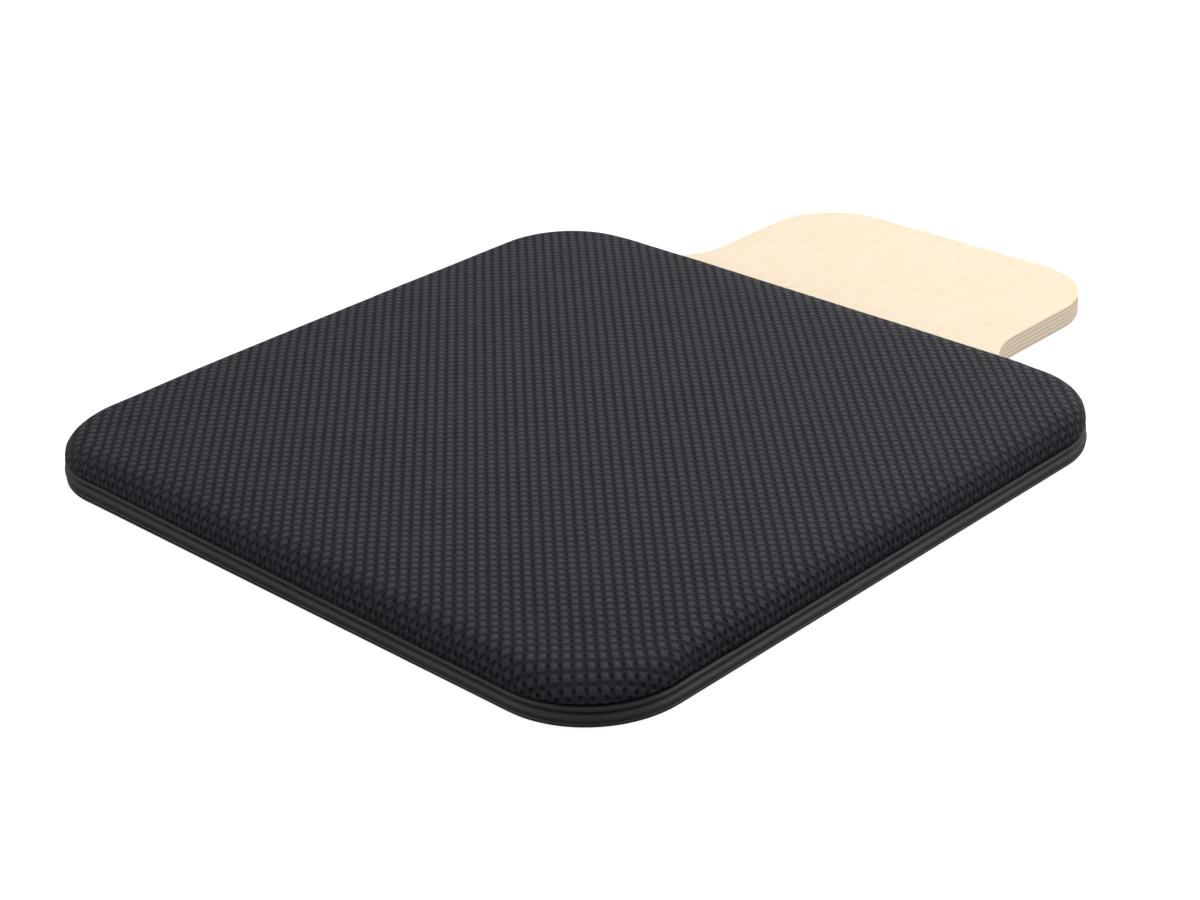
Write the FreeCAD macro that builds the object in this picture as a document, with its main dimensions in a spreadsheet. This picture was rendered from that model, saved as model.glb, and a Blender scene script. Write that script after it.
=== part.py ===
"""Padded plywood paddle: a square upholstered pad on a birch board whose bare tongue sticks out behind.

Frame: origin at the centre of the square pad's underside, +Y towards the tongue, +Z up, millimetres.
"""
import FreeCAD, Part
import math
import os
import Sketcher
from FreeCAD import Placement, Rotation, Vector

# Driving dimensions, one spreadsheet cell each.
SIZES = {
    "pad_width": 460.0,  # X, over the border
    "pad_depth": 450.0,  # Y, over the border
    "pad_height": 32.0,  # underside to the top of the cover
    "pad_corner_radius": 60.0,  # plan radius of the pad's corners, over the border
    "overall_length": 600.0,  # front of the pad to the end of the tongue
    "tongue_width": 240.0,
    "tongue_corner_radius": 50.0,
    "neck_radius": 49.0,  # hollow curve between the tongue and the square part
    "ply_thickness": 15.0,
    "ply_edge_rounding": 1.5,
    "cover_thickness": 1.0,
    "border_thickness": 1.6,
    "board_inset": 5.0,  # from the border's outermost line in to the board's edge
    "crown_inset": 1.0,  # the cushion's side stands this far inside the border
    "crown_bottom": 13.3,  # height of the crease between cushion and piping
    "crown_roll": 16.4,  # radius of the cushion's rolled edge
    "allowance_bottom": 4.0,  # lowest edge of the seam allowances behind the border
    "allowance_inset": 2.0,  # outer face of the seam allowances
    "hem_inset": 4.0,  # outer face of the cover's own seam allowance
    "foam_gap": 0.2,
    "dust_thickness": 1.0,
    "dust_inset": 10.0,
    "piping_radius": 1.8,
    "piping_height": 11.5,  # middle of the piping
    "piping_wall": 0.8,
    "flange_top": 10.9,
    "cord_gap": 0.1,
    "border_top": 9.6,
    "border_top_inset": 1.0,
    "border_bulge_height": 6.5,
    "border_fold_height": 4.0,  # a soft fold runs along the border here
    "border_fold_inset": 0.6,
    "border_toe_height": 2.0,
    "border_toe_inset": 0.4,
    "border_heel_inset": 2.0,
    "border_sole_inset": 5.0,  # from here the border climbs to its thinner flap
    "border_step_inset": 9.0,
    "border_flap_inset": 24.0,  # inner edge of the border's flap under the board
    "neck_half_gap": 166.0,  # half the stretch of the back edge that has no border
    "neck_hem": 12.0,
    "strip_width": 10.0,
    "strip_thickness": 1.2,
    "strip_margin": 1.0,
    "strip_end_gap": 4.0,
    "staple_crown": 10.0,
    "staple_leg": 8.0,
    "staple_wire": 0.6,
    "staple_spacing": 30.0,
    "border_staple_inset": 20.0,
    "dust_staple_inset": 14.0,
    "dust_staple_spacing": 40.0,
}

# What lies between the pad's outermost outline and each other outline.
CROWN_OUTSIDE = ["crown_inset"]
FOAM_SIDE = ["crown_inset", "cover_thickness", "foam_gap"]
HEM_OUTSIDE = ["hem_inset"]
BOARD_EDGE = ["board_inset"]
DUST_EDGE = ["dust_inset"]
OUTERMOST = []

BOARD_BOTTOM = ["dust_thickness", "border_thickness"]
BOARD_TOP = "(@dust_thickness + @border_thickness + @ply_thickness)"

doc = FreeCAD.newDocument("padded_paddle")


def make_sheet():
    """The driving dimensions as aliased cells."""
    cells = doc.addObject("Spreadsheet::Sheet", "Sizes")
    for row, (alias, amount) in enumerate(SIZES.items(), start=1):
        cells.set("A%d" % row, alias)
        cells.set("B%d" % row, str(amount))
        cells.setAlias("B%d" % row, alias)
    doc.recompute()
    return cells


sheet = make_sheet()


def bind(obj, path, formula):
    """Bind a property to a formula in which @alias stands for a cell."""
    obj.setExpression(path, formula.replace("@", "Sizes."))


def added(names):
    """The named sizes added up, as a formula."""
    return "(" + " + ".join("@" + name for name in names) + ")" if names else "0"


def added_mm(names):
    """The named sizes added up, as a number."""
    return sum(sheet.get(name) for name in names)


def new_body(name):
    return doc.addObject("PartDesign::Body", name)


def new_sketch(body, name, role="XY_Plane", offset="0"):
    """A sketch parallel to one of the body's own origin planes, lifted along its normal."""
    sketch = body.newObject("Sketcher::SketchObject", name)
    plane = [item for item in body.Origin.OriginFeatures if item.Role == role][0]
    sketch.AttachmentSupport = (plane, [""])
    sketch.MapMode = "FlatFace"
    bind(sketch, "AttachmentOffset.Base.z", offset)
    return sketch


def add_size(sketch, constraint, name, formula):
    """Add a dimension to a sketch and bind it to the sheet."""
    index = sketch.addConstraint(constraint)
    sketch.renameConstraint(index, name)
    bind(sketch, "Constraints." + name, formula)


def start_frame(inset):
    """Half spreads of the corner centres and the corner radius, as the sketch's starting numbers."""
    corner = sheet.get("pad_corner_radius")
    half_x = sheet.get("pad_width") / 2 - corner
    half_y = sheet.get("pad_depth") / 2 - corner
    return half_x, half_y, corner - added_mm(inset)


def quarter(centre_x, centre_y, radius, start_quarter):
    """A quarter circle, counter-clockwise from a multiple of 90 degrees."""
    circle = Part.Circle(Vector(centre_x, centre_y, 0), Vector(0, 0, 1), radius)
    start = start_quarter * math.pi / 2
    return Part.ArcOfCircle(circle, start, start + math.pi / 2)


def draw_outline(sketch, inset, name, neck=None):
    """The pad's rounded outline less an inset; with a neck formula it stays open at the back."""
    half_x, half_y, radius = start_frame(inset)
    out_x = half_x + radius
    out_y = half_y + radius
    ends = sheet.get("neck_half_gap") if neck else 0
    pieces = [
        Part.LineSegment(Vector(-out_x, half_y, 0), Vector(-out_x, -half_y, 0)),
        quarter(-half_x, -half_y, radius, 2),
        Part.LineSegment(Vector(-half_x, -out_y, 0), Vector(half_x, -out_y, 0)),
        quarter(half_x, -half_y, radius, 3),
        Part.LineSegment(Vector(out_x, -half_y, 0), Vector(out_x, half_y, 0)),
        quarter(half_x, half_y, radius, 0),
        Part.LineSegment(Vector(half_x, out_y, 0), Vector(ends if neck else -half_x, out_y, 0)),
        quarter(-half_x, half_y, radius, 1),
    ]
    left, corner_lf, front, corner_rf, right, corner_rb, back, corner_lb = [
        sketch.addGeometry(piece) for piece in pieces]
    chain = [left, corner_lf, front, corner_rf, right, corner_rb, back]
    for piece, following in zip(chain, chain[1:]):
        sketch.addConstraint(Sketcher.Constraint("Tangent", piece, 2, following, 1))
    sketch.addConstraint(Sketcher.Constraint("Tangent", corner_lb, 2, left, 1))
    if neck:
        stub = Part.LineSegment(Vector(-ends, out_y, 0), Vector(-half_x, out_y, 0))
        back_left = sketch.addGeometry(stub)
        sketch.addConstraint(Sketcher.Constraint("Tangent", back_left, 2, corner_lb, 1))
        sketch.addConstraint(Sketcher.Constraint("Symmetric", back, 2, back_left, 1, -2))
        add_size(sketch, Sketcher.Constraint("DistanceX", back_left, 1, back, 2, 2 * ends),
                 name + "_opening", "2 * " + neck)
    else:
        sketch.addConstraint(Sketcher.Constraint("Tangent", back, 2, corner_lb, 1))
    for line in (left, right):
        sketch.addConstraint(Sketcher.Constraint("Vertical", line))
    for line in (front, back):
        sketch.addConstraint(Sketcher.Constraint("Horizontal", line))
    for corner in (corner_rf, corner_rb, corner_lb):
        sketch.addConstraint(Sketcher.Constraint("Equal", corner_lf, corner))
    sketch.addConstraint(Sketcher.Constraint("Symmetric", corner_lf, 3, corner_rb, 3, -1, 1))
    add_size(sketch, Sketcher.Constraint("DistanceX", corner_lf, 3, corner_rb, 3, 2 * half_x),
             name + "_span_x", "@pad_width - 2 * @pad_corner_radius")
    add_size(sketch, Sketcher.Constraint("DistanceY", corner_lf, 3, corner_rb, 3, 2 * half_y),
             name + "_span_y", "@pad_depth - 2 * @pad_corner_radius")
    add_size(sketch, Sketcher.Constraint("Radius", corner_lf, radius),
             name + "_radius", "@pad_corner_radius - " + added(inset))


def pad_up(body, sketch, name, length):
    pad = body.newObject("PartDesign::Pad", name)
    pad.Profile = sketch
    bind(pad, "Length", length)
    sketch.Visibility = False
    return pad


def box_in(body, kind, name, sizes, corner):
    """An additive or subtractive box from three size formulas and three corner formulas."""
    box = body.newObject("PartDesign::%sBox" % kind, name)
    box.AttachmentSupport = ([item for item in body.Origin.OriginFeatures if item.Role == "XY_Plane"][0], [""])
    box.MapMode = "FlatFace"
    for prop, formula in zip(("Length", "Width", "Height"), sizes):
        bind(box, prop, formula)
    for axis, formula in zip("xyz", corner):
        bind(box, "AttachmentOffset.Base." + axis, formula)
    return box


def edge_names(feature, test):
    """Names of a feature's edges whose bounding box passes a test."""
    doc.recompute()
    return ["Edge%d" % number for number, edge in enumerate(feature.Shape.Edges, start=1)
            if test(edge.BoundBox)]


def round_edges(body, feature, name, test, radius):
    edges = edge_names(feature, test)
    if not edges:
        raise RuntimeError("no edges to round for " + name)
    fillet = body.newObject("PartDesign::Fillet", name)
    fillet.Base = (feature, edges)
    bind(fillet, "Radius", radius)
    return fillet


def at_height(height):
    """Test for edges that lie flat at a height."""
    return lambda box: abs(box.ZMin - height) < 0.01 and abs(box.ZMax - height) < 0.01


def upright_between(low_y, high_y):
    """Test for upright edges in a band of Y."""
    return lambda box: box.ZLength > 5 and box.XLength < 0.01 and low_y < box.YMin < high_y


def edge_path(inset, neck_ends=None):
    """The pad's outline less an inset as one wire, closed, or open across the neck between two ends."""
    half_x, half_y, radius = start_frame(inset)
    back = half_y + radius
    rest = math.sqrt(0.5) * radius
    start = neck_ends if neck_ends else 0.0
    last = Vector(start, back, 0)
    edges = []
    for index, (side_x, side_y) in enumerate([(1, 1), (1, -1), (-1, -1), (-1, 1)]):
        centre = Vector(side_x * half_x, side_y * half_y, 0)
        level = centre + Vector(side_x * radius, 0, 0)
        upright = centre + Vector(0, side_y * radius, 0)
        middle = centre + Vector(side_x * rest, side_y * rest, 0)
        first, second = (upright, level) if index % 2 == 0 else (level, upright)
        edges.append(Part.makeLine(last, first))
        edges.append(Part.Arc(first, middle, second).toShape())
        last = second
    edges.append(Part.makeLine(last, Vector(-start, back, 0)))
    return Part.Wire(edges)


def edge_stations(inset, spacing, neck_ends=None):
    """Evenly spread points on the outline less an inset, each with its outward direction."""
    half_x, half_y, _ = start_frame(inset)
    path = edge_path(inset, neck_ends)
    count = round(path.Length / spacing)
    points = path.discretize(Number=count + 1)
    if not neck_ends:
        points = points[:-1]
    stations = []
    for point in points:
        inner = Vector(max(-half_x, min(half_x, point.x)), max(-half_y, min(half_y, point.y)), 0)
        stations.append((point, (point - inner).normalize()))
    return stations


def make_staple():
    """One staple: crown along X on top at Z = 0, legs down -Z."""
    crown = sheet.get("staple_crown")
    wire = sheet.get("staple_wire")
    leg = sheet.get("staple_leg")
    width = 2 * wire
    bar = Part.makeBox(crown, width, wire, Vector(-crown / 2, -width / 2, -wire))
    left = Part.makeBox(wire, width, leg, Vector(-crown / 2, -width / 2, -leg))
    right = Part.makeBox(wire, width, leg, Vector(crown / 2 - wire, -width / 2, -leg))
    return bar.fuse([left, right]).removeSplitter()


def driven_up_around(staple, inset, spacing, height, neck_ends=None):
    """Copies of a staple along the outline less an inset, driven up into the board from below."""
    copies = []
    for point, outward in edge_stations(inset, spacing, neck_ends):
        turn = Rotation(outward.cross(Vector(0, 0, 1)), outward, Vector(0, 0, -1), "ZXY")
        copy = staple.copy()
        copy.Placement = Placement(point + Vector(0, 0, height), turn)
        copies.append(copy)
    return copies


def row_across_neck(staple, reach, spacing, place_y, height):
    """Copies of a staple in a line across the neck, driven down."""
    count = round(2 * reach / spacing) + 1
    copies = []
    for number in range(count):
        copy = staple.copy()
        copy.Placement = Placement(
            Vector(-reach + 2 * reach * number / (count - 1), place_y, height), Rotation())
        copies.append(copy)
    return copies


def add_group(name, solids):
    """A group of separate solids as one object."""
    group = doc.addObject("Part::Feature", name)
    group.Shape = Part.makeCompound(solids)
    return group


def cut_away(name, base, tools):
    """A base with the room for its fasteners taken out."""
    if len(tools) > 1:
        room = doc.addObject("Part::Compound", name + "_room")
        room.Links = tools
    else:
        room = tools[0]
    cut = doc.addObject("Part::Cut", name + "_cut")
    cut.Base = base
    cut.Tool = room
    return cut


def make_board_blank():
    """The whole plywood paddle: square part and tongue in one sheet."""
    body = new_body("board_blank")
    square = pad_up(body, new_outline(body, "square_outline", BOARD_EDGE, added(BOARD_BOTTOM)),
                    "square_part", "@ply_thickness")
    tongue = box_in(body, "Additive", "tongue",
                    ("@tongue_width", "@overall_length - @pad_depth / 2", "@ply_thickness"),
                    ("-@tongue_width / 2", "0", added(BOARD_BOTTOM)))
    end_y = sheet.get("overall_length") - sheet.get("pad_depth") / 2
    back_y = sheet.get("pad_depth") / 2 - added_mm(BOARD_EDGE)
    tongue_end = round_edges(body, tongue, "tongue_corners",
                             upright_between(end_y - 1, end_y + 1), "@tongue_corner_radius")
    neck = round_edges(body, tongue_end, "neck_curves",
                       lambda box: upright_between(back_y - 1, back_y + 1)(box)
                       and abs(abs(box.XMin) - sheet.get("tongue_width") / 2) < 1, "@neck_radius")
    bottom = added_mm(BOARD_BOTTOM)
    top = bottom + sheet.get("ply_thickness")
    clear_y = sheet.get("pad_depth") / 2 + 1
    round_edges(body, neck, "softened_edges",
                lambda box: (at_height(bottom)(box) or at_height(top)(box)) and box.YMax > clear_y,
                "@ply_edge_rounding")
    return body


def new_outline(body, name, inset, height, neck=None):
    sketch = new_sketch(body, name, "XY_Plane", height)
    draw_outline(sketch, inset, name, neck)
    return sketch


def make_ring(body, name, outside, inside, bottom, length):
    """An upright band between two insets of the outline."""
    sketch = new_sketch(body, name + "_outline", "XY_Plane", bottom)
    draw_outline(sketch, outside, name + "_outside")
    draw_outline(sketch, inside, name + "_inside")
    return pad_up(body, sketch, name, length)


def make_cover_shell():
    """Cushion cover: a rolled-over crown, a ledge in the crease, and a seam allowance behind the border."""
    body = new_body("cover_shell")
    crown = pad_up(body, new_outline(body, "crown_outline", CROWN_OUTSIDE, "@crown_bottom"),
                   "crown", "@pad_height - @crown_bottom")
    rolled = round_edges(body, crown, "rolled_edge", at_height(sheet.get("pad_height")), "@crown_roll")
    doc.recompute()
    underside = [name for name, box in
                 (("Face%d" % number, face.BoundBox)
                  for number, face in enumerate(rolled.Shape.Faces, start=1))
                 if at_height(sheet.get("crown_bottom"))(box)]
    hollow = body.newObject("PartDesign::Thickness", "hollow")
    hollow.Base = (rolled, underside)
    hollow.Reversed = True
    hollow.Join = 1
    bind(hollow, "Value", "@cover_thickness")
    make_ring(body, "ledge", CROWN_OUTSIDE, BOARD_EDGE, "@crown_bottom", "@cover_thickness")
    make_ring(body, "hem", HEM_OUTSIDE, BOARD_EDGE, "@allowance_bottom",
              "@crown_bottom + @cover_thickness - @allowance_bottom")
    box_in(body, "Subtractive", "neck_opening",
           ("2 * @neck_half_gap", "4 * @board_inset", BOARD_TOP),
           ("-@neck_half_gap", "@pad_depth / 2 - 3 * @board_inset", "0"))
    box_in(body, "Additive", "neck_hem_flap",
           ("2 * @neck_half_gap", "@neck_hem", "@cover_thickness"),
           ("-@neck_half_gap", "@pad_depth / 2 - @crown_inset - @neck_hem", BOARD_TOP))
    return body


def make_foam():
    """Foam slab on the board, rolled at its top edge, with a notch over the hem and the tack strip."""
    body = new_body("foam_pad")
    top = "(@pad_height - @cover_thickness - @foam_gap)"
    slab = pad_up(body, new_outline(body, "foam_outline", FOAM_SIDE, "@crown_bottom"),
                  "slab", top + " - @crown_bottom")
    top_mm = sheet.get("pad_height") - added_mm(["cover_thickness", "foam_gap"])
    round_edges(body, slab, "rolled_edge", at_height(top_mm), "@crown_roll - @cover_thickness - @foam_gap")
    box_in(body, "Subtractive", "board_level",
           ("@pad_width", "@pad_depth", BOARD_TOP),
           ("-@pad_width / 2", "-@pad_depth / 2", "0"))
    box_in(body, "Subtractive", "hem_notch",
           ("2 * (@neck_half_gap + @strip_margin)", "@neck_hem + 4 * @strip_margin",
            "@cover_thickness + @strip_thickness + @foam_gap"),
           ("-@neck_half_gap - @strip_margin",
            "@pad_depth / 2 - @crown_inset - @neck_hem - @strip_margin", BOARD_TOP))
    return body


def make_dust_sheet():
    """Thin cloth that closes the underside of the square part."""
    body = new_body("dust_sheet")
    pad_up(body, new_outline(body, "dust_outline", DUST_EDGE, "0"), "sheet", "@dust_thickness")
    return body


def round_section(body, name, wall):
    """The piping's round section, less a wall, standing at the start of its path."""
    sketch = new_sketch(body, name, "YZ_Plane", "@neck_half_gap")
    radius = sheet.get("piping_radius")
    centre = Vector(sheet.get("pad_depth") / 2 - radius, sheet.get("piping_height"), 0)
    section = sketch.addGeometry(Part.Circle(centre, Vector(0, 0, 1), radius))
    add_size(sketch, Sketcher.Constraint("DistanceX", -1, 1, section, 3, centre.x),
             "reach", "@pad_depth / 2 - @piping_radius")
    add_size(sketch, Sketcher.Constraint("DistanceY", -1, 1, section, 3, centre.y),
             "level", "@piping_height")
    add_size(sketch, Sketcher.Constraint("Radius", section, radius),
             "radius", "@piping_radius - " + wall)
    return sketch


def straight_section(body, name, corners):
    """A straight-sided section. Each corner is the sizes it lies inside the pad and the sizes it lies up."""
    sketch = new_sketch(body, name, "YZ_Plane", "@neck_half_gap")
    half_depth = sheet.get("pad_depth") / 2
    points = [Vector(half_depth - added_mm(inside), added_mm(up), 0) for inside, up in corners]
    sides = [sketch.addGeometry(Part.LineSegment(point, following))
             for point, following in zip(points, points[1:] + points[:1])]
    for side, following in zip(sides, sides[1:] + sides[:1]):
        sketch.addConstraint(Sketcher.Constraint("Coincident", side, 2, following, 1))
    for number, (inside, up) in enumerate(corners):
        point = points[number]
        add_size(sketch, Sketcher.Constraint("DistanceX", -1, 1, sides[number], 1, point.x),
                 "out_%d" % number, "@pad_depth / 2 - " + added(inside))
        add_size(sketch, Sketcher.Constraint("DistanceY", -1, 1, sides[number], 1, point.y),
                 "up_%d" % number, added(up))
    return sketch


def sweep(body, kind, name, section, path):
    pipe = body.newObject("PartDesign::%sPipe" % kind, name)
    pipe.Profile = section
    pipe.Spine = path
    pipe.Mode = "Standard"
    pipe.Transition = "Transformed"
    return pipe


def open_path(body, name):
    """The pad's outline, open across the neck, for sweeps to follow."""
    return new_outline(body, name, OUTERMOST, "0", "@neck_half_gap")


def make_piping_sleeve():
    """Leatherette strip folded round the piping cord, its flange sewn in behind the border."""
    body = new_body("piping")
    path = open_path(body, "piping_path")
    sweep(body, "Additive", "rib", round_section(body, "rib_section", "0"), path)
    flange = straight_section(body, "flange_section", [
        (["hem_inset"], ["allowance_bottom"]),
        (["allowance_inset"], ["allowance_bottom"]),
        (["allowance_inset"], ["flange_top"]),
        (["hem_inset"], ["flange_top"])])
    sweep(body, "Additive", "flange", flange, path)
    sweep(body, "Subtractive", "channel", round_section(body, "channel_section", "@piping_wall"), path)
    return body


def make_piping_cord():
    body = new_body("cord")
    path = open_path(body, "cord_path")
    section = round_section(body, "cord_section", "@piping_wall - @cord_gap")
    sweep(body, "Additive", "cord_run", section, path)
    return body


def make_border():
    """Smooth border: sewn on under the piping, bulged by the seam allowances, and turned under the board."""
    body = new_body("border")
    section = straight_section(body, "border_section", [
        (["allowance_inset"], ["border_top"]),
        (["border_top_inset"], ["border_top"]),
        ([], ["border_bulge_height"]),
        (["border_fold_inset"], ["border_fold_height"]),
        (["border_toe_inset"], ["border_toe_height"]),
        (["border_heel_inset"], []),
        (["border_sole_inset"], []),
        (["border_step_inset"], ["dust_thickness"]),
        (["border_flap_inset"], ["dust_thickness"]),
        (["border_flap_inset"], BOARD_BOTTOM),
        (["board_inset"], BOARD_BOTTOM),
        (["board_inset"], ["allowance_bottom"]),
        (["allowance_inset"], ["allowance_bottom"])])
    sweep(body, "Additive", "border_run", section, open_path(body, "border_path"))
    return body


def make_tack_strip():
    """Stiff card strip that keeps the cover's edge straight across the neck."""
    body = new_body("tack_strip_whole")
    box_in(body, "Additive", "strip",
           ("2 * (@neck_half_gap - @strip_end_gap)", "@strip_width", "@strip_thickness"),
           ("@strip_end_gap - @neck_half_gap",
            "@pad_depth / 2 - @crown_inset - @neck_hem + @strip_margin",
            BOARD_TOP + " + @cover_thickness"))
    return body


def build():
    """Every sub-part, by node name."""
    staple = make_staple()
    ends = sheet.get("neck_half_gap") - sheet.get("staple_crown")
    spacing = sheet.get("staple_spacing")
    strip_top = added_mm(BOARD_BOTTOM + ["ply_thickness", "cover_thickness", "strip_thickness"])
    strip_y = (sheet.get("pad_depth") - sheet.get("strip_width")) / 2 - sheet.get("crown_inset")
    strip_y -= sheet.get("neck_hem") - sheet.get("strip_margin") - sheet.get("strip_width")

    border_staples = add_group("border_staples", driven_up_around(
        staple, ["border_staple_inset"], spacing, sheet.get("dust_thickness"),
        ends + 2 * sheet.get("staple_crown")))
    dust_staples = add_group("dust_cover_staples", driven_up_around(
        staple, ["dust_staple_inset"], sheet.get("dust_staple_spacing"), 0.0))
    neck_staples = add_group("neck_staples", row_across_neck(staple, ends, spacing, strip_y, strip_top))
    staples = [border_staples, dust_staples, neck_staples]
    return {
        "plywood_board": cut_away("board", make_board_blank(), staples),
        "foam_pad": make_foam(),
        "top_cover": cut_away("cover", make_cover_shell(), [neck_staples]),
        "piping_sleeve": make_piping_sleeve(),
        "piping_cord": make_piping_cord(),
        "border_strip": cut_away("border_strip", make_border(), [border_staples, dust_staples]),
        "dust_cover": cut_away("dust", make_dust_sheet(), [dust_staples]),
        "neck_tack_strip": cut_away("strip", make_tack_strip(), [neck_staples]),
        "border_staples": border_staples,
        "dust_cover_staples": dust_staples,
        "neck_staples": neck_staples,
    }


def check_and_write(nodes):
    """Refuse failed objects and bad shapes, then write one file for each node."""
    failed = [obj.Label for obj in doc.Objects if "Invalid" in obj.State or "Error" in obj.State]
    if failed:
        raise RuntimeError("failed objects: " + ", ".join(failed))
    for name, obj in nodes.items():
        if obj.Shape.isNull() or not obj.Shape.isValid():
            raise RuntimeError("bad shape: " + name)
    os.makedirs("parts", exist_ok=True)
    for name, obj in nodes.items():
        obj.Label = name
        obj.Shape.exportStep(os.path.join("parts", name + ".step"))
        box = obj.Shape.BoundBox
        print("%-22s solids %3d  volume %10.1f  x %7.1f..%6.1f  y %7.1f..%6.1f  z %5.1f..%5.1f" % (
            name, len(obj.Shape.Solids), obj.Shape.Volume,
            box.XMin, box.XMax, box.YMin, box.YMax, box.ZMin, box.ZMax))


nodes = build()
doc.recompute()
check_and_write(nodes)
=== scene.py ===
import math

import bmesh
import bpy
import numpy as np
from mathutils import Matrix, Vector, noise

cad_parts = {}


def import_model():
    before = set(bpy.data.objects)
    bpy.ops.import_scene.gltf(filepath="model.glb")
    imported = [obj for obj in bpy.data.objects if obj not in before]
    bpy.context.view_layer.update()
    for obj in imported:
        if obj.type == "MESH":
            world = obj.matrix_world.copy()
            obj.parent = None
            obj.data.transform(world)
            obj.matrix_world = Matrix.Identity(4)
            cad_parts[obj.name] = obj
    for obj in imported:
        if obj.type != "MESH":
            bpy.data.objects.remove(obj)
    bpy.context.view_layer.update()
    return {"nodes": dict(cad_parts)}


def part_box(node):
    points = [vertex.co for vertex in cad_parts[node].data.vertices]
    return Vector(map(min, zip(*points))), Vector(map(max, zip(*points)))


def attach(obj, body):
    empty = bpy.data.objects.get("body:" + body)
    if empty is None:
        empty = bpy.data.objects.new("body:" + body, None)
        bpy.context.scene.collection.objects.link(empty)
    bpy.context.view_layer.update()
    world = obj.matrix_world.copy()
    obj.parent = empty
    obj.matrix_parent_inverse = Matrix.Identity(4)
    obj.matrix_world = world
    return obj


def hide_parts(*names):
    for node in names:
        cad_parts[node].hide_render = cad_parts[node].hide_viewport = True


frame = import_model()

MM = 0.001

# Where the CAD says the pieces are.
BORDER_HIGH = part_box("border_strip")[1]
COVER_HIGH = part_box("top_cover")[1]
BOARD_LOW, BOARD_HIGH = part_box("plywood_board")
PIPING_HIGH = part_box("piping_sleeve")[1]
DUST_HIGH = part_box("dust_cover")[1]
STRIP_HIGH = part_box("neck_tack_strip")[1]
FOAM_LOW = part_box("foam_pad")[0]

# The pad's plan: a rounded rectangle whose corner arcs are centred on an inner rectangle.
HALF_WIDTH = BORDER_HIGH.x
HALF_DEPTH = BORDER_HIGH.y
CORNER = 60 * MM
INNER_X = HALF_WIDTH - CORNER
INNER_Y = HALF_DEPTH - CORNER
COVER_REACH = CORNER - (HALF_WIDTH - COVER_HIGH.x)
DUST_REACH = CORNER - (HALF_WIDTH - DUST_HIGH.x)
STRIP_END_GAP = 4 * MM
NECK_HALF = STRIP_HIGH.x + STRIP_END_GAP  # half the stretch of the back edge that has no border
NECK_FADE_START = NECK_HALF - 4 * MM
NECK_FADE_END = NECK_HALF + 2 * MM

# Heights.
TOP = COVER_HIGH.z
BOARD_TOP = BOARD_HIGH.z
CREASE = PIPING_HIGH.z
SHELL = 1 * MM  # leatherette thickness
ROLL = 15 * MM
ROLL_STEPS = 8
ROLL_SQUARENESS = 0.88  # 1 gives a round edge, less a squarer one
SQUARENESS_LEAN = 0.16  # the right side is squarer than the left by twice this
CORNER_ROUNDER = 0.3  # and the front right corner is rounder by this
SEAM_LIFT = 0.3 * MM  # the seam's height over the CAD's, in the middle of the pad
SEAM_CLIMB = 1.4 * MM  # how much higher it is on the left side, and lower on the right
FRONT_LEFT_PUSH = 2.4 * MM
BACK_RIGHT_PUSH = 1.3 * MM

CELL_X = 4.18 * MM  # one cell of the embossed weave
CELL_Y = 4.0 * MM
THREADS = 3  # embossed threads side by side in one cell
ROLL_STRETCH = 1.25  # how far the weave is pulled out over the rolled edge
FLAT_END = 0.84  # the flat top's weave ends at this share of the cover's reach
ROLL_START = 0.98  # and the rolled edge's weave starts at this one

GRID_X = 68
GRID_Y = 66
CORNER_STEPS = 16
FLAT_STEPS = 9

SIM_FRAMES = 20
SIM_PRESSURE = 0.3
SIM_LIMIT = 1.8 * MM


def smooth_step(low, high, value):
    share = max(0.0, min(1.0, (value - low) / (high - low)))
    return share * share * (3 - 2 * share)


def ripple(x, y, z, size, seed=0.0):
    """Smooth noise from -1 to 1 that changes over about one size."""
    return noise.noise(Vector((x / size + seed, y / size - seed, z / size + 0.37 * seed)))


# ---------------------------------------------------------------- mesh helpers

def new_object(name, points, faces, smooth=True):
    mesh = bpy.data.meshes.new(name)
    mesh.from_pydata([tuple(point) for point in points], [], faces)
    mesh.validate()
    mesh.update()
    if smooth:
        mesh.shade_smooth()
    else:
        mesh.shade_flat()
    obj = bpy.data.objects.new(name, mesh)
    bpy.context.scene.collection.objects.link(obj)
    return obj


def coordinates(mesh):
    flat = np.zeros(len(mesh.vertices) * 3)
    mesh.vertices.foreach_get("co", flat)
    return flat.reshape(-1, 3)


def set_coordinates(mesh, points):
    mesh.vertices.foreach_set("co", np.asarray(points, dtype=np.float32).ravel())
    mesh.update()


def settle(obj):
    """The object's mesh with its modifiers applied."""
    depsgraph = bpy.context.evaluated_depsgraph_get()
    depsgraph.update()
    mesh = bpy.data.meshes.new_from_object(obj.evaluated_get(depsgraph), depsgraph=depsgraph)
    obj.modifiers.clear()
    old = obj.data
    mesh.name = old.name
    obj.data = mesh
    bpy.data.meshes.remove(old)


def apply_modifier(obj, kind, **settings):
    modifier = obj.modifiers.new(kind.title(), kind)
    for name, value in settings.items():
        setattr(modifier, name, value)
    settle(obj)


def finish_piece(obj, material, slot, *nodes):
    """Give a piece its material, and put it on the body in place of its CAD nodes. The slot argument is not
    used.
    """
    obj.data.materials.clear()
    obj.data.materials.append(material)
    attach(obj, "root")
    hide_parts(*nodes)
    return obj


# ---------------------------------------------------------------- the pad's plan

def side_station(i, j, outward):
    """A grid place on the inner rectangle's edge, as (grid place, anchor, outward direction)."""
    anchor = Vector((INNER_X * (2 * i / GRID_X - 1), INNER_Y * (2 * j / GRID_Y - 1), 0))
    return (i, j), anchor, Vector((outward[0], outward[1], 0))


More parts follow.
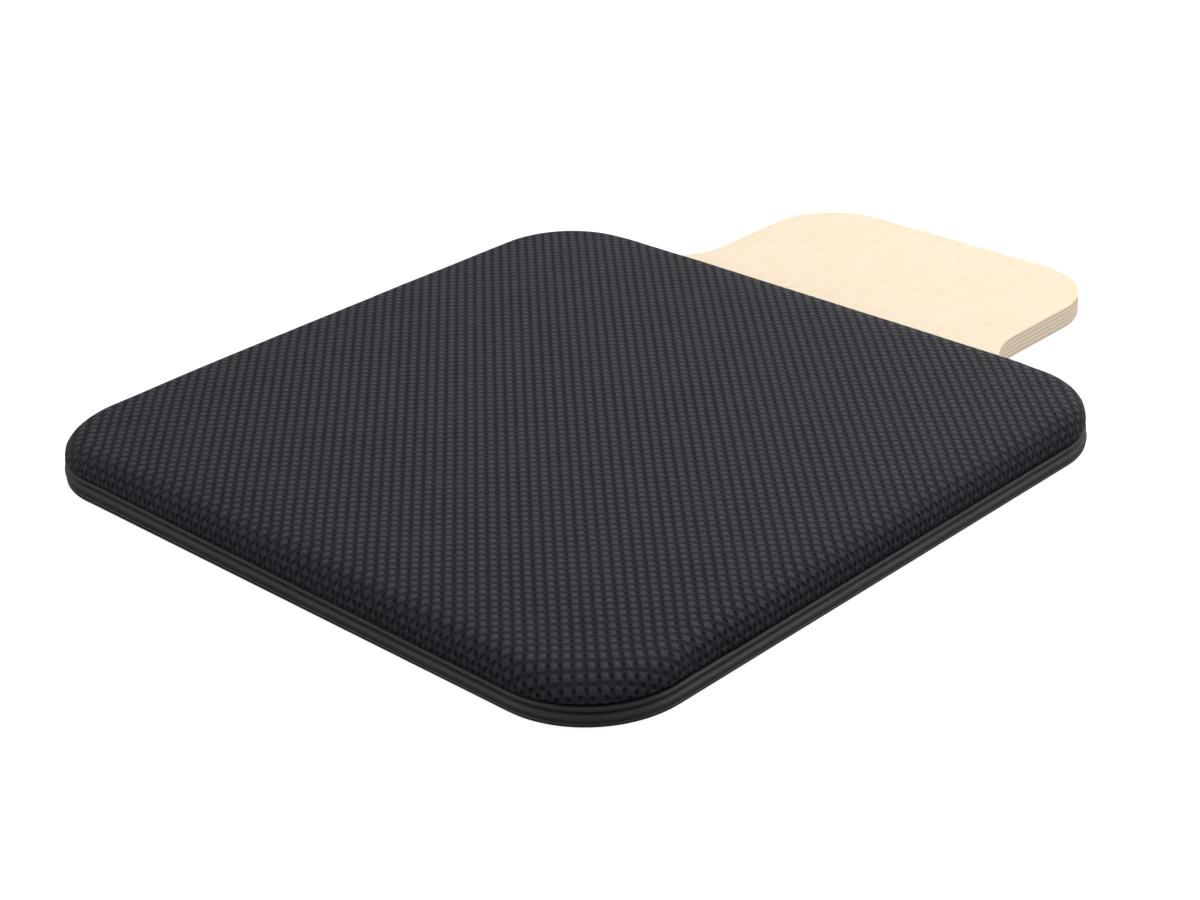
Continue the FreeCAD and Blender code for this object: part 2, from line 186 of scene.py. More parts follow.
def stations():
    """Places round the inner rectangle, clockwise from its back left corner, with outward directions."""
    found = []
    runs = [
        ([(i, GRID_Y) for i in range(GRID_X + 1)], (0, 1)),
        ([(GRID_X, j) for j in range(GRID_Y, -1, -1)], (1, 0)),
        ([(i, 0) for i in range(GRID_X, -1, -1)], (0, -1)),
        ([(0, j) for j in range(GRID_Y + 1)], (-1, 0)),
    ]
    for places, outward in runs:
        found += [side_station(i, j, outward) for i, j in places]
        heading = math.atan2(outward[1], outward[0])
        for step in range(1, CORNER_STEPS):
            angle = heading - math.pi / 2 * step / CORNER_STEPS
            found.append(side_station(*places[-1], (math.cos(angle), math.sin(angle))))
    return found


STATIONS = stations()


def seam_lift(spot):
    """The cover is sewn on a little askew: its seam climbs from the pad's right side to its left."""
    return SEAM_LIFT - SEAM_CLIMB * spot.x / HALF_WIDTH


def corner_share(outward):
    """0 on the straight sides, 1 in the middle of a corner."""
    return min(1.0, 2 * abs(outward.x * outward.y))


def corner_push(outward):
    """The seam's layers stand out further at the front left corner and at the back right one."""
    if outward.x * outward.y <= 0:
        return 0.0
    full_push = FRONT_LEFT_PUSH if outward.x < 0 else BACK_RIGHT_PUSH
    return corner_share(outward) * full_push


def neck_share(anchor, outward):
    """1 where the cushion's back edge sits on the bare board, 0 where the border runs."""
    if outward.y < 0.99:
        return 0.0
    return 1 - smooth_step(NECK_FADE_START, NECK_FADE_END, abs(anchor.x))


def patch(name, grid_height, rings, closing_height=None):
    """A padded surface: a grid over the inner rectangle, and rings of points round it.

    grid_height(x, y) gives the grid's heights. rings(anchor, outward) gives each station's points as
    (reach outward, height, sheet reach). closing_height closes the underside with a second grid.
    """
    points = []
    sheet_places = []

    def add_grid(height):
        first = len(points)
        for j in range(GRID_Y + 1):
            for i in range(GRID_X + 1):
                x = INNER_X * (2 * i / GRID_X - 1)
                y = INNER_Y * (2 * j / GRID_Y - 1)
                points.append((x, y, height(x, y)))
                sheet_places.append((x, y, 0.0))
        return first

    def at(first, place):
        return first + place[1] * (GRID_X + 1) + place[0]

    top = add_grid(grid_height)
    faces = []
    for j in range(GRID_Y):
        for i in range(GRID_X):
            faces.append([at(top, (i, j)), at(top, (i + 1, j)),
                          at(top, (i + 1, j + 1)), at(top, (i, j + 1))])

    columns = []
    for place, anchor, outward in STATIONS:
        column = [at(top, place)]
        for reach, height, sheet_reach in rings(anchor, outward):
            column.append(len(points))
            spot = anchor + outward * reach
            points.append((spot.x, spot.y, height))
            flat = anchor + outward * sheet_reach
            rolled = smooth_step(FLAT_END, ROLL_START, reach / COVER_REACH)
            sheet_places.append((flat.x, flat.y, rolled))
        columns.append(column)
    if closing_height is not None:
        bottom = add_grid(lambda x, y: closing_height)
        for column, (place, _, _) in zip(columns, STATIONS):
            column.append(at(bottom, place))
        for j in range(GRID_Y):
            for i in range(GRID_X):
                faces.append([at(bottom, (i, j)), at(bottom, (i, j + 1)),
                              at(bottom, (i + 1, j + 1)), at(bottom, (i + 1, j))])

    for column, following in zip(columns, columns[1:] + columns[:1]):
        for inner in range(len(column) - 1):
            corners = [column[inner], following[inner], following[inner + 1], column[inner + 1]]
            faces.append(list(dict.fromkeys(corners)))
    obj = new_object(name, points, faces)
    attribute = obj.data.attributes.new("weave", "FLOAT_VECTOR", "POINT")
    attribute.data.foreach_set("vector", np.array(sheet_places, dtype=np.float32).ravel())
    return obj, columns


# ---------------------------------------------------------------- cushion

REST_TOP = TOP - 1.6 * MM  # the cushion's top before the cloth is blown up
CORNER_DIPS = {(-1, -1): 3.8 * MM, (1, -1): 8.0 * MM, (1, 1): 1.2 * MM, (-1, 1): 2.4 * MM}
DIP_POWER = 3  # the higher, the closer to the corner a dip stays
FRONT_CORNER_ROLL = 14 * MM  # how much wider the rolled edge is at the front right corner


def crown(x, y):
    """Height of the cushion's top before the cloth is blown up: its corners lie lower."""
    share_x = min(1.0, abs(x) / HALF_WIDTH)
    share_y = min(1.0, abs(y) / HALF_DEPTH)
    dip = CORNER_DIPS[(-1 if x < 0 else 1, -1 if y < 0 else 1)]
    return REST_TOP - dip * share_x ** DIP_POWER * share_y ** DIP_POWER


PLEATS = [(12 * MM, 3.4 * MM), (31 * MM, 2.0 * MM)]  # (how far past the front right corner, depth)
PLEAT_WIDTH = 5 * MM
PLEAT_SLANT = 14 * MM  # how far a pleat leans along the side from its foot to the flat top


def pleat_depth(anchor, outward, roll_share):
    """Small slanting pleats at the foot of the right side, where the corner's fullness runs out."""
    if outward.x < 0.99:
        return 0.0
    past_corner = anchor.y + INNER_Y
    depth = 0.0
    for place, full_depth in PLEATS:
        off = past_corner - place - PLEAT_SLANT * (1 - roll_share)
        depth += full_depth * math.exp(-(off / PLEAT_WIDTH) ** 2)
    return depth * roll_share ** 2


CREASE_GAP = 1.1 * MM  # the rolled edge's foot over the seam
RIGHT_CREASE_GAP = 0.9 * MM  # and this much more on the right side
NECK_CREASE_GAP = 0.9 * MM  # and its foot over the bare board
PUCKER_DEPTH = 0.28 * MM
PUCKERS = 34  # in a full turn, seen only at the corners
HEM = [  # (inward, down, down at the neck) in millimetres, from the rolled edge's foot into the crease
    (-0.9, -0.6, -0.1), (-2.2, -1.2, -0.4), (-3.2, -2.6, -0.85), (-3.4, -5.0, -0.9), (-3.4, -8.5, -0.8)]
NECK_HEM_SPREAD = 0.5  # each point of the hem lies further in by this share at the neck


def cover_rings(anchor, outward):
    """The cover's side: flat top, rolled edge, crease and hem, with the back edge sitting on the board."""
    neck = neck_share(anchor, outward)
    corner = corner_share(outward)
    heading = math.atan2(outward.y, outward.x)
    rings = []
    front_corner = corner if outward.x > 0 > outward.y else 0.0
    roll = ROLL + FRONT_CORNER_ROLL * front_corner
    flat_reach = COVER_REACH - roll
    for step in range(1, FLAT_STEPS + 1):
        reach = flat_reach * step / FLAT_STEPS
        spot = anchor + outward * reach
        rings.append((reach, crown(spot.x, spot.y), reach))
    edge_height = rings[-1][1]
    seam = CREASE + seam_lift(anchor + outward * CORNER)
    crease_gap = CREASE_GAP + RIGHT_CREASE_GAP * max(0.0, outward.x)
    bottom = (1 - neck) * (seam + crease_gap) + neck * (BOARD_TOP + NECK_CREASE_GAP)
    push = corner_push(outward)
    squareness = ROLL_SQUARENESS - SQUARENESS_LEAN * outward.x + CORNER_ROUNDER * front_corner
    for step in range(1, ROLL_STEPS + 1):
        angle = math.pi / 2 * step / ROLL_STEPS
        reach = flat_reach + (roll + push * math.sin(angle)) * math.sin(angle) ** squareness
        height = bottom + (edge_height - bottom) * max(0.0, math.cos(angle)) ** squareness
        pucker = corner * PUCKER_DEPTH * math.sin(angle) ** 2 * math.sin(PUCKERS * heading)
        pleat = pleat_depth(anchor, outward, step / ROLL_STEPS)
        add_ring(rings, reach + pucker - pleat, height)
    for step, (inward, down, neck_down) in enumerate(HEM):
        depth = (1 - neck) * down + neck * neck_down
        reach = COVER_REACH + push + inward * MM * (1 + neck * (1 + step * NECK_HEM_SPREAD))
        add_ring(rings, reach, bottom + depth * MM)
    return rings


def add_ring(rings, reach, height):
    """Add a point to a station's rings, with the sheet laid along the way to it."""
    last_reach, last_height, last_sheet = rings[-1]
    laid = math.hypot(reach - last_reach, height - last_height) / ROLL_STRETCH
    rings.append((reach, height, last_sheet + laid))


HELD_RINGS = 4  # rings sewn down in the crease


def blow_up(obj, columns):
    """Inflate the cover as cloth. The foam holds it: it may swell a little, and it can't sink."""
    rest = coordinates(obj.data)
    outward = np.zeros_like(rest)
    for vertex in obj.data.vertices:
        outward[vertex.index] = vertex.normal
    held = obj.vertex_groups.new(name="held")
    held.add([index for column in columns for index in column[-HELD_RINGS:]], 1.0, "REPLACE")
    cloth = obj.modifiers.new("Cloth", "CLOTH")
    settings = cloth.settings
    settings.quality = 6
    settings.mass = 0.25
    settings.tension_stiffness = 30
    settings.compression_stiffness = 30
    settings.shear_stiffness = 12
    settings.bending_stiffness = 4
    settings.vertex_group_mass = "held"
    settings.use_pressure = True
    settings.uniform_pressure_force = SIM_PRESSURE
    settings.effector_weights.gravity = 0
    cloth.collision_settings.use_collision = False
    cloth.point_cache.frame_start = 1
    cloth.point_cache.frame_end = SIM_FRAMES
    for number in range(1, SIM_FRAMES + 1):
        bpy.context.scene.frame_set(number)
    settle(obj)
    bpy.context.scene.frame_set(1)
    moved = coordinates(obj.data) - rest
    swell = np.maximum(0.0, (moved * outward).sum(axis=1))
    print("cloth swelled up to %.2f mm" % (swell.max() / MM))
    kept = SIM_LIMIT * np.tanh(swell / SIM_LIMIT)
    set_coordinates(obj.data, rest + outward * kept[:, None])


COVER_RIPPLES = [(0.22 * MM, 46 * MM, 0.0), (0.1 * MM, 15 * MM, 3.1)]  # (height, size, seed)
RIPPLE_START = BOARD_TOP + 4 * MM  # the cover is uneven above this height


def cushion_cover(material):
    obj, columns = patch("cushion_cover", crown, cover_rings)
    blow_up(obj, columns)
    points = coordinates(obj.data)
    top = points[:, 2] > RIPPLE_START
    for index in np.nonzero(top)[0]:
        x, y, z = points[index]
        points[index, 2] += sum(height * ripple(x, y, z, size, seed) for height, size, seed in COVER_RIPPLES)
    set_coordinates(obj.data, points)
    apply_modifier(obj, "SUBSURF", levels=1, render_levels=1)
    apply_modifier(obj, "SOLIDIFY", thickness=SHELL, offset=-1.0)
    finish_piece(obj, material, "embossed_leatherette", "top_cover")
    return obj


FOAM_GAP = 1.5 * MM  # between the cover and the foam
FOAM_BED = 0.1 * MM  # between the board and the foam
FOAM_NECK_RISE = 3 * MM  # how much higher the foam's foot is at the neck
FOAM_FOOT_INSET = 1.9 * MM
FOAM_FOOT_WIDTH = 1 * MM
FOAM_OUTER_LIFT = 0.9 * MM  # the foot's outer line over the seam
FOAM_INNER_LIFT = 0.6 * MM  # and its inner line
FOAM_SHOULDER_INSET = 4.7 * MM  # where the foam passes the board's edge
FOAM_FLAT_INSET = 18 * MM  # from here in it lies on the board
FOAM_FLAT_EASE = 2 * MM


def foam_rings(anchor, outward):
    """The foam's side, a layer inside the cover, down over the board's edge and back in above the board."""
    neck = neck_share(anchor, outward)
    cover = cover_rings(anchor, outward)
    rings = []
    for reach, height, _ in cover[:FLAT_STEPS + ROLL_STEPS - 1]:
        inside = FOAM_GAP * smooth_step(0.5, 1.0, reach / COVER_REACH)
        rings.append((reach - inside, height - FOAM_GAP, reach))
    foot = (1 - neck) * FOAM_LOW.z + neck * (BOARD_TOP + FOAM_NECK_RISE)
    foot_reach = COVER_REACH - FOAM_FOOT_INSET
    seam = CREASE + seam_lift(anchor + outward * CORNER)
    shoulder = CORNER - FOAM_SHOULDER_INSET
    over_board = BOARD_TOP + FOAM_BED + neck * FOAM_NECK_RISE
    inner = CORNER - FOAM_FLAT_INSET
    rings.append((foot_reach, max(foot, seam + FOAM_OUTER_LIFT), foot_reach))
    rings.append((foot_reach - FOAM_FOOT_WIDTH, max(foot, seam + FOAM_INNER_LIFT), foot_reach))
    rings.append((shoulder, max(foot, seam + FOAM_INNER_LIFT), shoulder))
    rings.append((shoulder, over_board, shoulder))
    rings.append((inner, over_board, inner))
    rings.append((inner - FOAM_FLAT_EASE, BOARD_TOP + FOAM_BED, inner))
    return rings


def foam_core(material):
    obj, _ = patch("foam_core", lambda x, y: crown(x, y) - FOAM_GAP, foam_rings, BOARD_TOP + FOAM_BED)
    finish_piece(obj, material, "foam", "foam_pad")
    return obj


# ---------------------------------------------------------------- piping and border

RUN_STEP = 4 * MM


def edge_run():
    """Evenly spread (anchor, outward, distance along) from the neck's right end round to its left end."""
    quarter_turn = CORNER * math.pi / 2
    legs = [("side", Vector((NECK_HALF, INNER_Y, 0)), Vector((INNER_X, INNER_Y, 0)), (0, 1))]
    corners = [Vector((INNER_X, INNER_Y, 0)), Vector((INNER_X, -INNER_Y, 0)),
               Vector((-INNER_X, -INNER_Y, 0)), Vector((-INNER_X, INNER_Y, 0))]
    headings = [(0, 1), (1, 0), (0, -1), (-1, 0)]
    for index in range(4):
        legs.append(("corner", corners[index], None, headings[index]))
        if index < 3:
            legs.append(("side", corners[index], corners[index + 1], headings[index + 1]))
    legs.append(("side", Vector((-INNER_X, INNER_Y, 0)), Vector((-NECK_HALF, INNER_Y, 0)), (0, 1)))

    run = []
    travelled = 0.0
    for kind, start, end, outward in legs:
        length = quarter_turn if kind == "corner" else (end - start).length
        steps = max(2, round(length / RUN_STEP))
        heading = math.atan2(outward[1], outward[0])
        for step in range(steps):
            share = step / steps
            along = travelled + share * length
            if kind == "corner":
                angle = heading - math.pi / 2 * share
                run.append((start, Vector((math.cos(angle), math.sin(angle), 0)), along))
            else:
                run.append((start.lerp(end, share), Vector((outward[0], outward[1], 0)), along))
        travelled += length
    run.append((legs[-1][2], Vector((0, 1, 0)), travelled))
    return run


RUN = edge_run()
RUN_LENGTH = RUN[-1][2]


def end_share(along):
    """0 at the run's two ends, 1 a short way in."""
    return smooth_step(-1 * MM, 5 * MM, min(along, RUN_LENGTH - along))


def sweep(name, section):
    """A closed section carried round the pad's edge: section(along, lift) gives (inset, height) points."""
    points = []
    for anchor, outward, along in RUN:
        edge = anchor + outward * CORNER
        push = corner_push(outward)
        section_points = section(along, seam_lift(edge))
        for inset, height in section_points:
            spot = edge + outward * (push - inset)
            points.append((spot.x, spot.y, height))
    count = len(section_points)
    faces = []
    for row in range(len(RUN) - 1):
        for number in range(count):
            following = (number + 1) % count
            faces.append([row * count + number, row * count + following,
                          (row + 1) * count + following, (row + 1) * count + number])
    faces.append(list(range(count - 1, -1, -1)))
    faces.append([(len(RUN) - 1) * count + number for number in range(count)])
    obj = new_object(name, points, faces)
    fix_normals(obj)
    return obj


def fix_normals(obj):
    work = bmesh.new()
    work.from_mesh(obj.data)
    bmesh.ops.recalc_face_normals(work, faces=work.faces[:])
    work.to_mesh(obj.data)
    work.free()


PIPING_RADIUS = 1.8 * MM
PIPING_MIDDLE = PIPING_HIGH.z - PIPING_RADIUS
PIPING_TUCK = 0.8 * MM  # how far the cushion pushes the piping in behind the border's line
PIPING_STEPS = 14
PIPING_START = -62  # degrees from straight outward, where the rib leaves its flange
PIPING_TURN = 290  # degrees that the rib goes round
FLANGE = [(3.6, 8.0), (3.6, 4.6), (2.8, 4.6), (2.8, 8.0)]  # (inset, height) in millimetres


def piping_place(along, lift):
    """The piping's inset, height and radius here, a little uneven as sewn piping is."""
    full = end_share(along)
    height = PIPING_MIDDLE + lift + 0.12 * MM * ripple(along, 0, 0, 30 * MM, 5.0)
    radius = PIPING_RADIUS * (1 + 0.035 * ripple(along, 0, 0, 12 * MM, 1.0)) * (0.65 + 0.35 * full)
    return PIPING_RADIUS + PIPING_TUCK + (1 - full) * 0.9 * MM, height, radius


def piping_section(along, lift):
    """Round rib with its flange hanging behind the border."""
    middle_in, middle, radius = piping_place(along, lift)
    section = []
    for step in range(PIPING_STEPS + 1):
        angle = math.radians(PIPING_START + PIPING_TURN * step / PIPING_STEPS)
        section.append((middle_in - radius * math.cos(angle), middle + radius * math.sin(angle)))
    section += [(inset * MM, height * MM) for inset, height in FLANGE]
    return section


CORD_RADIUS = 0.9 * MM
CORD_SIDES = 10


def cord_section(along, lift):
    """The welt cord inside the piping."""
    middle_in, middle, _ = piping_place(along, lift)
    section = []
    for step in range(CORD_SIDES):
        angle = 2 * math.pi * step / CORD_SIDES
        section.append((middle_in - CORD_RADIUS * math.cos(angle), middle + CORD_RADIUS * math.sin(angle)))
    return section


BORDER_CURVE = [  # (inset, height) in millimetres, down the outside of the border from its seam
    (2.5, 9.5), (1.7, 9.1), (0.85, 8.4), (0.25, 7.5), (0.0, 6.4), (0.1, 5.4), (0.5, 4.6), (1.0, 4.1),
    (1.05, 3.7), (0.65, 3.2), (0.45, 2.6), (0.55, 1.9), (1.0, 1.1), (1.9, 0.4),
    (3.2, 0.05), (5.0, 0.05), (7.0, 0.45), (9.0, 0.95), (16.0, 1.02), (24.0, 1.05)]
BORDER_BACK = [(24.0, 2.5), (11.0, 2.5), (6.6, 2.5), (4.8, 2.9), (3.7, 4.2), (3.1, 6.0), (3.1, 8.8)]


def border_section(along, lift):
    """Smooth strip: bulged by the seam allowances, then turned under the board."""
    full = end_share(along)
    wave = 0.16 * ripple(along, 0, 0, 38 * MM, 8.0) + 0.07 * ripple(along, 0, 0, 9 * MM, 2.0)
    section = []
    for inset, height in BORDER_CURVE:
        belly = smooth_step(9.4, 7.0, height) * smooth_step(0.6, 3.0, height)
        turned = inset + wave * belly + 0.05
        raised = height * MM + lift * smooth_step(1.0, 6.0, height)
        section.append(((turned + (1 - full) * max(0.0, 3.4 - turned)) * MM, raised))
    section += [(inset * MM, height * MM) for inset, height in BORDER_BACK]
    return section


def piping(material):
    obj = sweep("piping", piping_section)
    return finish_piece(obj, material, "smooth_leatherette", "piping_sleeve")


def piping_cord(material):
    obj = sweep("welt_cord", cord_section)
    return finish_piece(obj, material, "welt_cord", "piping_cord")


def border(material):
    obj = sweep("border", border_section)
    apply_modifier(obj, "SUBSURF", levels=1, render_levels=1)
    return finish_piece(obj, material, "smooth_leatherette", "border_strip")


# ---------------------------------------------------------------- dust cover

DUST_SHEET = 0.25 * MM
DUST_STEPS = 10
DUST_EASE = 40 * MM  # how far in from its edge the cloth reaches its full sag


def dust_height(x, y):
    """Underside of the dust cover: it sags a little between its staples."""
    edge_x = (DUST_HIGH.x - abs(x)) / DUST_EASE
    edge_y = (DUST_HIGH.y - abs(y)) / DUST_EASE
    inner = smooth_step(0.0, 1.0, min(edge_x, edge_y))
    return 0.32 * MM - 0.2 * MM * inner + 0.07 * MM * ripple(x, y, 0, 35 * MM, 4.0)


def dust_rings(anchor, outward):
    rings = []
    for step in range(1, DUST_STEPS + 1):
        reach = DUST_REACH * step / DUST_STEPS
        spot = anchor + outward * reach
        rings.append((reach, dust_height(spot.x, spot.y), reach))
    return rings


def dust_cover(material):
    obj, _ = patch("dust_cover_cloth", dust_height, dust_rings)
    apply_modifier(obj, "SOLIDIFY", thickness=DUST_SHEET, offset=1.0)
    finish_piece(obj, material, "base_cloth", "dust_cover")
    return obj


# ---------------------------------------------------------------- materials

class Nodes:
    """A small helper that adds and links shader nodes."""

    def __init__(self, name, base, roughness):
        self.material = bpy.data.materials.new(name)
        self.material.use_nodes = True
        self.tree = self.material.node_tree
        self.shader = self.tree.nodes["Principled BSDF"]
        self.shader.inputs["Base Color"].default_value = (*base, 1)
        self.shader.inputs["Roughness"].default_value = roughness

    def add(self, kind, **settings):
        node = self.tree.nodes.new("ShaderNode" + kind)
        for name, value in settings.items():
            setattr(node, name, value)
        return node

    def plug(self, socket, value):
        if isinstance(value, bpy.types.NodeSocket):
            self.tree.links.new(value, socket)
        else:
            socket.default_value = value

    def math(self, operation, *values):
        node = self.add("Math", operation=operation)
        for socket, value in zip(node.inputs, values):
            self.plug(socket, value)
        return node.outputs[0]

    def fade(self, value, low, high, start=0.0, end=1.0):
        """A smooth change from start to end as the value goes from low to high."""
        node = self.add("MapRange", interpolation_type="SMOOTHSTEP")
        for name, setting in (("Value", value), ("From Min", low), ("From Max", high),
                              ("To Min", start), ("To Max", end)):
            self.plug(node.inputs[name], setting)
        return node.outputs["Result"]

    def mix(self, share, first, second):
        node = self.add("Mix", data_type="RGBA")
        self.plug(node.inputs["Factor"], share)
        for socket, value in ((node.inputs[6], first), (node.inputs[7], second)):
            self.plug(socket, value if isinstance(value, bpy.types.NodeSocket) else (*value, 1))
        return node.outputs[2]

    def noise(self, place, size, detail=2.0):
        node = self.add("TexNoise")
        self.plug(node.inputs["Vector"], place)
        node.inputs["Scale"].default_value = 1 / size
        node.inputs["Detail"].default_value = detail
        return node.outputs["Fac"]

    def place(self, stretch=(1, 1, 1)):
        """The point's place on the object, in metres."""
        coordinates_node = self.add("TexCoord")
        mapping = self.add("Mapping")
        self.plug(mapping.inputs["Vector"], coordinates_node.outputs["Object"])
        mapping.inputs["Scale"].default_value = stretch
        return mapping.outputs["Vector"]

    def bump(self, height, depth, normal=None):
        node = self.add("Bump")
        node.inputs["Strength"].default_value = 1.0
        node.inputs["Distance"].default_value = depth
        self.plug(node.inputs["Height"], height)
        if normal is not None:
            self.plug(node.inputs["Normal"], normal)
        return node.outputs["Normal"]

    def colour(self, value):
        self.plug(self.shader.inputs["Base Color"], value)

    def roughness(self, value):
        self.plug(self.shader.inputs["Roughness"], value)

    def normal(self, value):
        self.plug(self.shader.inputs["Normal"], value)

    def gloss(self, level, ior=1.45):
        self.shader.inputs["Specular IOR Level"].default_value = level
        self.shader.inputs["IOR"].default_value = ior


# The pit tone is painted shade in the pits.
LEATHER_PIT_SHADE = (0.0005, 0.0005, 0.0008)
# The dark tone is painted shade on the sunk cells; the light tone is a painted highlight on the raised
# cells, and also the tone of the lighter worn patches.
LEATHER_SUNK_SHADE = (0.0072, 0.0068, 0.0108)
LEATHER_MID = (0.019, 0.0183, 0.0258)
LEATHER_HIGHLIGHT_AND_WEAR = (0.0325, 0.0312, 0.0445)


def embossed_leatherette():
    """Black leatherette with a plain-weave emboss: raised and sunk cells, and a round pit at each corner.

    On the flat top every second pit is shallower, with less painted shade. Fine threads run across the
    cells, and turn from each cell to the next. The raised cells are painted lighter, a painted highlight,
    and the sunk cells darker, painted shade; the pits' near-black is painted shade.
    """
    nodes = Nodes("embossed_leatherette", LEATHER_MID, 0.5)
    nodes.gloss(0.17)
    sheet_place = nodes.add("Attribute", attribute_name="weave").outputs["Vector"]
    split = nodes.add("SeparateXYZ")
    nodes.plug(split.inputs[0], sheet_place)
    across = nodes.math("DIVIDE", split.outputs["X"], CELL_X)
    along = nodes.math("DIVIDE", split.outputs["Y"], CELL_Y)
    roll = split.outputs["Z"]

    off_x = nodes.math("MULTIPLY", nodes.math("PINGPONG", across, 0.5), CELL_X)
    off_y = nodes.math("MULTIPLY", nodes.math("PINGPONG", along, 0.5), CELL_Y)
    away = nodes.math("SQRT", nodes.math("ADD", nodes.math("MULTIPLY", off_x, off_x),
                                         nodes.math("MULTIPLY", off_y, off_y)))
    pit = nodes.fade(away, 0.6 * MM, 1.5 * MM, 1.0, 0.0)
    turn_x = nodes.math("COSINE", nodes.math("MULTIPLY", across, math.pi))
    turn_y = nodes.math("COSINE", nodes.math("MULTIPLY", along, math.pi))
    # Every second pit on the flat top gets a shallower bump and less painted shade.
    deeper = nodes.fade(nodes.math("MULTIPLY", turn_x, turn_y), -0.2, 0.2, 0.3, 1.0)
    pit = nodes.math("MULTIPLY", pit, nodes.math("MAXIMUM", deeper, roll))
    wave_x = nodes.math("SINE", nodes.math("MULTIPLY", across, math.pi))
    wave_y = nodes.math("SINE", nodes.math("MULTIPLY", along, math.pi))
    checker = nodes.math("MULTIPLY", wave_x, wave_y)
    raised = nodes.math("MULTIPLY_ADD", checker, 0.5, 0.5)

    grain = nodes.noise(nodes.place(), 0.35 * MM, 3.0)
    patches = nodes.noise(nodes.place(), 30 * MM, 2.0)
    # Raised cells painted lighter as a painted highlight, sunk cells darker as painted shade.
    weave_light_and_shade = nodes.mix(nodes.fade(raised, 0.25, 0.8), LEATHER_SUNK_SHADE, LEATHER_HIGHLIGHT_AND_WEAR)
    rolled_colour = nodes.mix(nodes.math("MULTIPLY", roll, 0.6), weave_light_and_shade, LEATHER_MID)
    # The pits painted near-black: painted shade in the pits.
    pit_shaded = nodes.mix(pit, rolled_colour, LEATHER_PIT_SHADE)
    # Random lighter worn patches, laid over the painted highlight and shade.
    shaded_and_worn = nodes.mix(nodes.fade(patches, 0.35, 0.7, 0.0, 0.12), pit_shaded, LEATHER_HIGHLIGHT_AND_WEAR)
    nodes.colour(shaded_and_worn)
    nodes.roughness(nodes.fade(raised, 0.2, 0.9, 0.62, 0.42))

    even = nodes.math("GREATER_THAN", checker, 0.0)
    threads_x = nodes.math("COSINE", nodes.math("MULTIPLY", across, 2 * math.pi * THREADS))
    threads_y = nodes.math("COSINE", nodes.math("MULTIPLY", along, 2 * math.pi * THREADS))
    threads = nodes.math("ADD", nodes.math("MULTIPLY", even, threads_x),
                         nodes.math("MULTIPLY", nodes.math("SUBTRACT", 1.0, even), threads_y))
    threads = nodes.math("MULTIPLY", threads, nodes.math("ABSOLUTE", checker))
    raised_threads = nodes.math("MULTIPLY_ADD", threads, -0.16, raised)
    height = nodes.math("SUBTRACT", raised_threads, nodes.math("MULTIPLY", pit, 1.6))
    coarse = nodes.bump(height, 0.65 * MM)
    nodes.normal(nodes.bump(grain, 0.05 * MM, coarse))
    return nodes.material


def smooth_leatherette():
    """Fine-grained black leatherette of the piping and border."""
    nodes = Nodes("smooth_leatherette", LEATHER_MID, 0.4)
    nodes.gloss(0.52)
    grain = nodes.noise(nodes.place(), 0.5 * MM, 3.0)
    creases = nodes.add("TexVoronoi", feature="DISTANCE_TO_EDGE")
    nodes.plug(creases.inputs["Vector"], nodes.place())
    creases.inputs["Scale"].default_value = 1 / (0.9 * MM)
    patches = nodes.noise(nodes.place(), 18 * MM, 2.0)
    cell = nodes.fade(creases.outputs["Distance"], 0.0, 0.18)
    tone = nodes.mix(cell, (0.010, 0.0097, 0.0128), (0.021, 0.0202, 0.0268))
    nodes.colour(nodes.mix(nodes.fade(patches, 0.35, 0.7, 0.0, 0.3), tone, (0.03, 0.0288, 0.0378)))
    nodes.roughness(nodes.fade(grain, 0.3, 0.7, 0.36, 0.5))
    coarse = nodes.bump(cell, 0.05 * MM)
    nodes.normal(nodes.bump(grain, 0.04 * MM, coarse))
    return nodes.material


BOND_SPACING = 1.6 * MM  # between the cloth's bonded points


def base_cloth():
    """Black non-woven cloth with its grid of bonded points."""
    nodes = Nodes("base_cloth", (0.02, 0.02, 0.021), 0.9)
    nodes.gloss(0.2)
    nodes.shader.inputs["Sheen Weight"].default_value = 0.15
    fibres = nodes.noise(nodes.place((1, 3, 1)), 0.8 * MM, 4.0)
    split = nodes.add("SeparateXYZ")
    nodes.plug(split.inputs[0], nodes.place())
    off_x = nodes.math("PINGPONG", nodes.math("DIVIDE", split.outputs["X"], BOND_SPACING), 0.5)
    off_y = nodes.math("PINGPONG", nodes.math("DIVIDE", split.outputs["Y"], BOND_SPACING), 0.5)
    away = nodes.math("MAXIMUM", off_x, off_y)
    bonded = nodes.fade(away, 0.12, 0.24, 1.0, 0.0)
    cloudy = nodes.noise(nodes.place(), 25 * MM, 3.0)
    tone = nodes.mix(nodes.fade(fibres, 0.3, 0.7), (0.012, 0.012, 0.013), (0.034, 0.034, 0.036))
    tone = nodes.mix(nodes.fade(cloudy, 0.35, 0.7, 0.0, 0.4), tone, (0.028, 0.028, 0.03))
    nodes.colour(nodes.mix(bonded, tone, (0.008, 0.008, 0.009)))
    nodes.normal(nodes.bump(nodes.math("SUBTRACT", fibres, bonded), 0.12 * MM))
    return nodes.material


PLY_COUNT = 11


